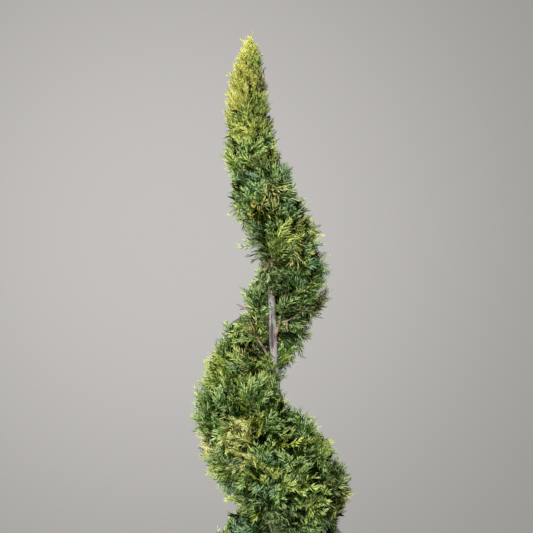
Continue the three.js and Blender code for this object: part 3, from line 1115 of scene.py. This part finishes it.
def set_sprays():
    """Sets a spray on each point, turned to its growth and face, and paints it in two greens."""
    tree, given = node_tree(
        "Set sprays", Shapes="Collection", Leaf_finish="Material", Tip_finish="Material"
    )
    sockets = {"Primary Axis": stored(tree, "growth", "FLOAT_VECTOR")}
    sockets["Secondary Axis"] = stored(tree, "face", "FLOAT_VECTOR")
    axes = {"primary_axis": "X", "secondary_axis": "Z"}
    turn = add_node(tree, "FunctionNodeAxesToRotation", axes, sockets)
    sockets = {"Collection": given["Shapes"], "Separate Children": True}
    shapes = add_node(tree, "GeometryNodeCollectionInfo", {}, sockets)
    sockets = {"Points": given["Geometry"], "Instance": shapes, "Pick Instance": True}
    sockets |= {"Instance Index": stored(tree, "kind", "INT"), "Rotation": turn}
    sockets["Scale"] = stored(tree, "size", "FLOAT")
    sprays = add_node(tree, "GeometryNodeInstanceOnPoints", {}, sockets)
    sprays = finished(tree, sprays, given["Leaf finish"])
    pale = stored(tree, "pale", "BOOLEAN")
    return end_tree(tree, finished(tree, sprays, given["Tip finish"], pale))


def srgb(red, green, blue):
    """A colour given in the usual 0 to 255 steps, as the linear colour that shaders take."""
    shares = [c / 255 for c in (red, green, blue)]
    return tuple(s / 12.92 if s < 0.04045 else ((s + 0.055) / 1.055) ** 2.4 for s in shares)


TINTS = {  # the colour of a spray's older leaves, and of the pale ones nearer its tip
    "gold": (srgb(172, 174, 60), srgb(220, 220, 130)),
    "lime": (srgb(124, 144, 44), srgb(206, 216, 116)),
    "yellow_green": (srgb(92, 118, 36), srgb(194, 208, 118)),
    "bright_green": (srgb(72, 110, 36), srgb(182, 206, 130)),
    "mid_green": (srgb(57, 90, 32), srgb(168, 192, 122)),
    "deep_green": (srgb(42, 70, 24), srgb(142, 162, 104)),
    "blue_green": (srgb(44, 82, 38), srgb(144, 176, 132)),
    "olive": (srgb(68, 74, 20), srgb(176, 180, 108)),
    "straw": (srgb(140, 146, 62), srgb(216, 218, 142)),
    "cream": (srgb(184, 182, 106), srgb(238, 234, 168)),
    "amber": (srgb(158, 152, 54), srgb(216, 202, 102)),
    "dry": (srgb(84, 80, 48), srgb(152, 146, 102)),
}
GOLDEN = ("gold", "lime", "straw", "cream", "amber")
# Partly the duller green of inner leaves, mostly painted shade: near-black, for the dark gaps between
# the tufts.
PAINTED_SHADE_TINT = (srgb(18, 28, 4), srgb(32, 44, 8))
# Tints by a score that is partly the foliage's own gold and partly painted light and shade.
GOLD_AND_PAINTED_LIGHT_TINTS = [  # how sunny a shoot has to stand for a tint
    (0.80, "gold"),
    (0.50, "lime"),
    (0.26, "yellow_green"),
    (0.04, "bright_green"),
    (-0.18, "mid_green"),
]
TUFT_FRONT = 42 * MM
# Some tufts are painted light and shade: the deep_green tufts right of the trunk, in the notch and
# under the overhang above the trunk, and the olive tuft on the spire's right flank, are painted shade;
# the gold tuft on the spire's left is partly painted light.
TUFTS = [  # tufts of one colour on the front: across, up and width in mm, and their tint
    (-90, 1556, 46, "gold"), (-84, 1470, 22, "lime"), (-26, 1556, 23, "olive"),
    (-22, 1514, 15, "yellow_green"), (-20, 1478, 15, "olive"), (-84, 1412, 18, "yellow_green"),
    (-45, 1334, 16, "amber"), (20, 1302, 14, "yellow_green"), (46, 1276, 13, "lime"),
    (65, 1310, 11, "yellow_green"), (80, 1276, 11, "lime"), (66, 1248, 12, "yellow_green"),
    (47, 1237, 18, "yellow_green"), (-36, 1110, 26, "olive"), (-80, 765, 44, "blue_green"),
    (0, 762, 46, "deep_green"), (-44, 784, 18, "mid_green"), (-60, 1184, 12, "mid_green"),
    (-20, 1226, 17, "dry"), (20, 1065, 8, "lime"), (0, 1032, 13, "deep_green"),
    (44, 1048, 16, "bright_green"), (35, 1092, 22, "deep_green"), (48, 1130, 30, "deep_green"),
    (-24, 1262, 20, "deep_green"), (2, 1240, 18, "deep_green"), (-40, 1160, 14, "deep_green"),
    (-54, 1178, 14, "deep_green"), (-127, 1007, 14, "lime"), (-100, 992, 26, "mid_green"),
    (-90, 1006, 12, "olive"), (-110, 1072, 14, "lime"), (-116, 1062, 20, "yellow_green"),
    (-88, 1074, 15, "yellow_green"), (-42, 1056, 18, "olive"), (-34, 1004, 24, "mid_green"),
    (-74, 942, 32, "straw"), (-72, 915, 22, "straw"), (-130, 907, 14, "cream"),
    (-68, 882, 18, "cream"), (-25, 875, 15, "lime"), (2, 945, 20, "mid_green"),
    (-142, 974, 26, "bright_green"), (-138, 936, 18, "mid_green"), (-6, 900, 20, "blue_green"),
    (22, 872, 18, "bright_green"), (48, 922, 15, "lime"), (46, 892, 13, "bright_green"),
    (64, 870, 18, "yellow_green"), (58, 846, 16, "bright_green"), (114, 858, 20, "deep_green"),
    (128, 826, 24, "olive"), (74, 785, 18, "bright_green"),
]


def tint_of(point, normal, hollow, draw):
    """The colour of a shoot: tufts with a place of their own, then painted light and the foliage's own
    gold.
    """
    across, up = point[0] / MM, point[2] / MM
    middle = trunk_middle(point[2])
    if point[1] < middle[1] + TUFT_FRONT:
        share = draw.uniform(0.75, 1.15)
        for x, z, width, tint in TUFTS:
            if math.hypot(across - x, up - z) < width * share:
                return tint
    spire = rising(point[2], 1.43, 0.14)
    to_left = middle[0] - point[0]
    lower = np.clip((UPPER_BAND - point[2]) / 0.1, -1, 1)
    # Painted light: golden, paler tints towards the left, where the window light falls, and on faces
    # that look up; partly the foliage's own gold.
    gold_and_painted_light = (0.70 + 12 * to_left) * spire + 1.1 * to_left + 0.10 * normal[2]
    gold_and_painted_light += (0.18 * lower - 0.06) * (1 - spire)
    # Painted shade: shoots set back in hollows get darker tints.
    gold_and_painted_light += 0.85 * soft_noise(point, 19, 29) + draw.normal(0, 0.14) - 0.24 * hollow
    for least, tint in GOLD_AND_PAINTED_LIGHT_TINTS:
        if gold_and_painted_light > least:
            return tint
    blueness = soft_noise(point, 22, 37) + draw.normal(0, 0.1) + 0.14 * lower
    return "olive" if blueness < -0.2 else "deep_green" if blueness < 0.1 else "blue_green"


def trimmed(at, growth, size, normal, allowed):
    """A spray's size once the shears have cut it back to the crown's surface, or None."""
    proud = -depth_inside(at + growth * SPRAY_LENGTH * size * 1.25) - allowed
    if proud > 0:
        size -= proud / (SPRAY_LENGTH * max(growth @ normal, 0.35))
    return size if proud <= 0 or size > SMALLEST_SPRAY else None


def sprays_of(shoot, draw):
    """A shoot's sprays: one at its tip, then to both sides in turn, back along its outer part."""
    line, heading, face, point, normal, owner, hollow, withdrawn = shoot
    full = float(np.clip((SPIRE_TOP - point[2]) / 0.28, 0.6, 1.0))
    side_way = unit(np.cross(face, heading))
    steps = np.linalg.norm(np.diff(line, axis=0), axis=1)
    reach = np.concatenate([[0], np.cumsum(steps)])
    start = line[-1] - heading * SPRAY_LENGTH * full * 0.95
    rows = [(start, heading, face, full, owner, draw.uniform(0, 0.5))]
    back = SPRAY_LENGTH * full * 0.6
    side = 1 if draw.random() < 0.5 else -1
    while back < reach[-1] * 0.95:
        at = np.array([np.interp(reach[-1] - back, reach, line[:, i]) for i in range(3)])
        angle = side * math.radians(draw.uniform(28, 48)) * (1 - 1.8 * (1 - full))
        growth = heading * math.cos(angle) + side_way * math.sin(angle)
        growth = unit(growth + draw.normal(0, 0.18, 3))
        turned_face = unit(face + draw.normal(0, 0.65, 3))
        size = full * draw.uniform(0.85, 1.15)
        size = trimmed(at, growth, size, normal, draw.uniform(-3, 4) * MM - withdrawn)
        if size:
            # Partly the sprays' age, partly painted shade: sprays on shoots set back in hollows count
            # as older and so get less pale kinds.
            age_and_painted_shade = back / (44 * MM * full) + draw.normal(0, 0.22) + 0.2 * hollow
            rows.append((at, growth, turned_face, size, owner, np.clip(age_and_painted_shade, 0, 0.99)))
        back += SPRAY_SPACING * (1.5 * full - 0.5) * draw.uniform(0.8, 1.2)
        side = -side
    return rows


def lay_sprays():
    """Every spray's place, growth, face, size, owner and kind, in lists by tint."""
    laid = {tint: [] for tint in TINTS}
    for k, shoot in enumerate(SHOOTS):
        draw = np.random.default_rng((59, k))
        _, _, _, point, normal, _, hollow, _ = shoot
        tint = tint_of(point, normal, hollow, draw)
        laid[tint] += sprays_of(shoot, draw)
    draw = np.random.default_rng(61)
    for z in np.arange(FILL_FROM, FILL_TO, FILL_STEP):
        at = trunk_middle(z) + draw.normal(0, 8 * MM, 3)
        nearest, normal, number, _ = crown_skin.find_nearest(Vector(at))
        away = unit((at - trunk_middle(z)) * np.array([1, 1, 0]))
        growth = unit(np.array([0, 0, 1]) + 0.45 * away + draw.normal(0, 0.15, 3))
        size = draw.uniform(0.6, 0.85)
        end = at + growth * SPRAY_LENGTH * size * 1.25
        if depth_inside(at) < 5 * MM or depth_inside(end) < 0:
            continue
        tint = tint_of(np.array(nearest), np.array(normal), 0, draw)
        face = unit(away + draw.normal(0, 0.4, 3))
        owner = int(crown_owner[number])
        laid[tint].append((at, growth, face, size, owner, draw.uniform(0.2, 0.9)))
    return laid


def shade_sprays():
    """Broad dull sprays inside the crown, along the boughs and the shoots, painted near-black as shade.
    """
    draw = np.random.default_rng(71)
    rows = []
    inner = [(line[k], owner) for line, *_, owner, _, _ in SHOOTS for k in (1, 2, 3)]
    for line, _ in climbing:
        owner = int(crown_owner[crown_skin.find_nearest(Vector(line[-1]))[2]])
        inner += [(place, owner) for place in line[3:]]
    for place, owner in inner:
        at = place + draw.normal(0, 5 * MM, 3)
        normal = crown_skin.find_nearest(Vector(at))[1]
        least = 9 * MM + max(cut_back(at), 0)
        if depth_inside(at) < least or (at[2] > BAND_TOP and draw.random() < 0.6):
            continue
        face = unit(np.array(normal) + draw.normal(0, 0.45, 3))
        growth = unit(np.cross(face, draw.normal(0, 1, 3)) + np.array([0, 0, 0.5]))
        size = draw.uniform(0.8, 1.15)
        while size > 0.4 and depth_inside(at + growth * SPRAY_LENGTH * size * 1.3) < 0.75 * least:
            size *= 0.8
        if size > 0.4:
            rows.append((at, growth, face, size, owner, draw.random()))
    return rows


def spray_anchors(name, rows, kind_count):
    """A point for each spray, with the attributes that its instance is set by."""
    mesh = bpy.data.meshes.new(name)
    mesh.from_pydata([tuple(row[0]) for row in rows], [], [])
    for label, column in (("growth", 1), ("face", 2)):
        values = np.array([row[column] for row in rows], np.float32).ravel()
        mesh.attributes.new(label, "FLOAT_VECTOR", "POINT").data.foreach_set("vector", values)
    sizes = np.array([row[3] for row in rows], np.float32)
    mesh.attributes.new("size", "FLOAT", "POINT").data.foreach_set("value", sizes)
    picks = np.array([row[5] * kind_count for row in rows], np.int32)
    mesh.attributes.new("kind", "INT", "POINT").data.foreach_set("value", picks)
    return shown(name, mesh)


def leaf_finish(name, colour, shine):
    return finish_material(name, colour, 0.5, Specular_IOR_Level=shine)[0]


SPRAY_SETTER = set_sprays()


def set_out(name, rows, shapes, tints, shines):
    """One piece of joined sprays, in its two colours."""
    sprays = grown(
        f"sprays_{name}",
        spray_anchors(f"{name} anchors", rows, len(shapes.objects)),
        SPRAY_SETTER,
        Shapes=shapes,
        Leaf_finish=leaf_finish(f"{name} leaf", tints[0], shines[0]),
        Tip_finish=leaf_finish(f"{name} tip", tints[1], shines[1]),
    )
    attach(sprays, "root")
    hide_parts(*sorted({CROWN[row[4]] for row in rows}))


outer_shapes = hidden_shapes("spray", spray_meshes(SPRAY_KINDS, BLADE_WIDTH))
for tint, rows in lay_sprays().items():
    slot = "golden_foliage" if tint in GOLDEN else "green_foliage"
    set_out(tint, rows, outer_shapes, TINTS[tint], (LEAF_SHINE, TIP_SHINE))
shade_shapes = hidden_shapes("shade_spray", spray_meshes(SHADE_KINDS, SHADE_BLADE_WIDTH))
shade_shine = (SHADE_SHINE, SHADE_SHINE)
# The inner sprays carry painted shade: their near-black tint darkens the gaps between the tufts.
set_out("shade", shade_sprays(), shade_shapes, PAINTED_SHADE_TINT, shade_shine)


# ---- The floor, the light and the camera ----
# A plain pale floor that fades into a plain grey room. A large soft window lights the crown from the
# front left, a skylight from above, and a window behind it on the left. The camera stands level.

ROOM_GREY = srgb(196, 193, 190)
ROOM_LIGHT = 0.40
WALL_GLOW = (-0.06, 0.998, 0.02)
WALL_DIM = 0.42
FLOOR_RADIUS = 4.0
FLOOR_FADE = 1.6
CAMERA_AWAY = 3.0
CAMERA_HEIGHT = 1.2233
CAMERA_LEFT = -0.0189
VIEW_WIDTH = 0.9594
SENSOR = 36


def floor_finish():
    """Matt pale paint that fades out towards the floor's edge."""
    material, tree, shader = finish_material("pale floor", ROOM_GREY, 0.9)
    length = {"operation": "LENGTH"}
    radius = add_node(tree, "ShaderNodeVectorMath", length, {0: object_position(tree)}).output("Value")
    feed(tree, shader, Alpha=1 - step(tree, radius, FLOOR_FADE, FLOOR_RADIUS - 0.1))
    return material


disc = bmesh.new()
bmesh.ops.create_circle(disc, cap_ends=True, segments=96, radius=FLOOR_RADIUS)
floor = shown("floor", mesh_of("floor", disc))
floor.data.materials.append(floor_finish())
floor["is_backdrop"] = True


def room():
    """A plain grey room, brightest straight behind the plant, and dimmer as a light than it looks."""
    world = bpy.data.worlds.new("room")
    world.use_nodes = True
    tree = world.node_tree
    seen = add_node(tree, "ShaderNodeLightPath").output("Is Camera Ray")
    toward = add_node(tree, "ShaderNodeTexCoord").output("Generated")
    sockets = {0: toward, 1: WALL_GLOW}
    apart = add_node(tree, "ShaderNodeVectorMath", {"operation": "DISTANCE"}, sockets).output("Value")
    shadow = step(tree, apart, 0.02, 0.32) - step(tree, apart, 0.45, 1.0) * 0.6
    strength = (ROOM_LIGHT + seen * (1 - ROOM_LIGHT)) * (1 - shadow * WALL_DIM)
    background = tree.nodes["Background"].inputs
    background["Color"].default_value = (*ROOM_GREY, 1)
    tree.links.new(strength.socket, background["Strength"])
    return world


bpy.context.scene.world = room()
for name, place, size, power in (  # lights, all aimed at the middle of the crown
    ("window", (-1.3, -3.6, 3.0), 1.3, 255),
    ("skylight", (0.4, 0.9, 3.9), 2.0, 130),
    ("back window", (-2.4, 2.6, 2.2), 1.5, 90),
):
    lamp = bpy.data.lights.new(name, "AREA")
    lamp.shape, lamp.size, lamp.energy = "DISK", size, power
    holder = bpy.data.objects.new(name, lamp)
    holder.location = place
    aim = Vector((0, 0, 1.0)) - Vector(place)
    holder.rotation_euler = aim.to_track_quat("-Z", "Y").to_euler()
    bpy.context.scene.collection.objects.link(holder)

camera_data = bpy.data.cameras.new("camera")
camera_data.sensor_width = SENSOR
camera_data.lens = SENSOR * CAMERA_AWAY / VIEW_WIDTH
camera = bpy.data.objects.new("camera", camera_data)
camera.location = (CAMERA_LEFT, -CAMERA_AWAY, CAMERA_HEIGHT)
camera.rotation_euler = (math.radians(90), 0, 0)
bpy.context.scene.collection.objects.link(camera)
bpy.context.scene.camera = camera
bpy.context.scene.view_settings.view_transform = "Standard"

boxes = {"cad": cad_box, "visual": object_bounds()}
{name: [list(corner) for corner in box] for name, box in boxes.items()}
